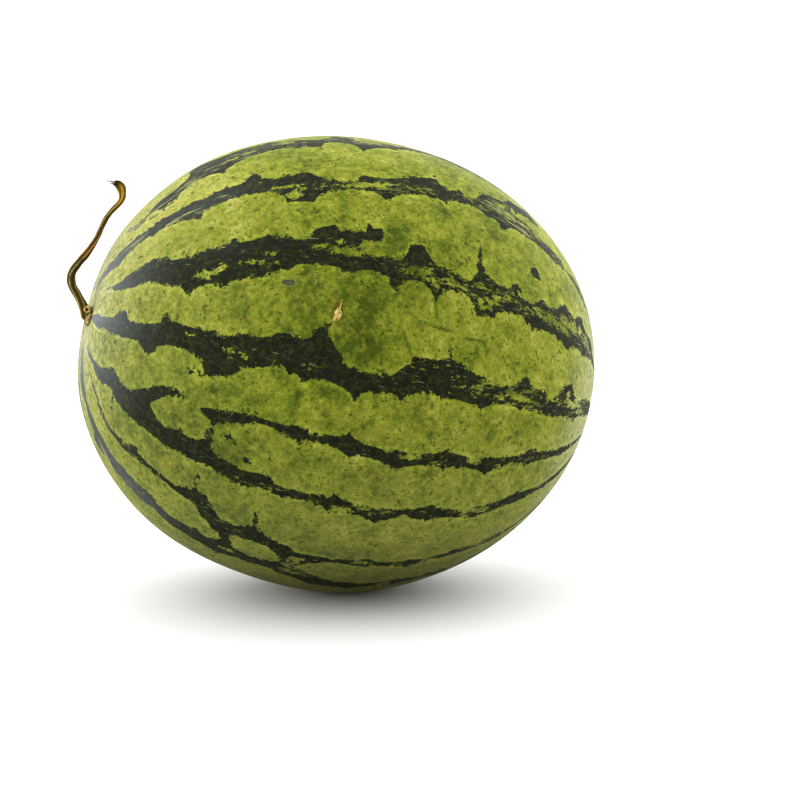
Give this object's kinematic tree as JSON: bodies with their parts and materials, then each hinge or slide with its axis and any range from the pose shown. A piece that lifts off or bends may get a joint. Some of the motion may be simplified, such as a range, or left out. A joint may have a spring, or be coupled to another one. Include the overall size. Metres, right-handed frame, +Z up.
{
  "type": "watermelon",
  "caption": "Whole round-oval striped watermelon lying on its side, with a dried curly stem on its flattened stem end and a blossom scar opposite.",
  "frame": {"origin": "middle of the mount rest_spot, on the flat spot that the fruit lies on, right below the fruit's middle", "axes": "+Z up, +X along the fruit from its stem end to its blossom end, +Y to the fruit's back as the picture shows it"},
  "size_m": [0.2424, 0.2093, 0.2079],
  "materials": {
    "rind": "satin",
    "dried_stem": "matte"
  },
  "bodies": {
    "root": {"fruit": "rind", "stem": "dried_stem"}
  },
  "joints": []
}
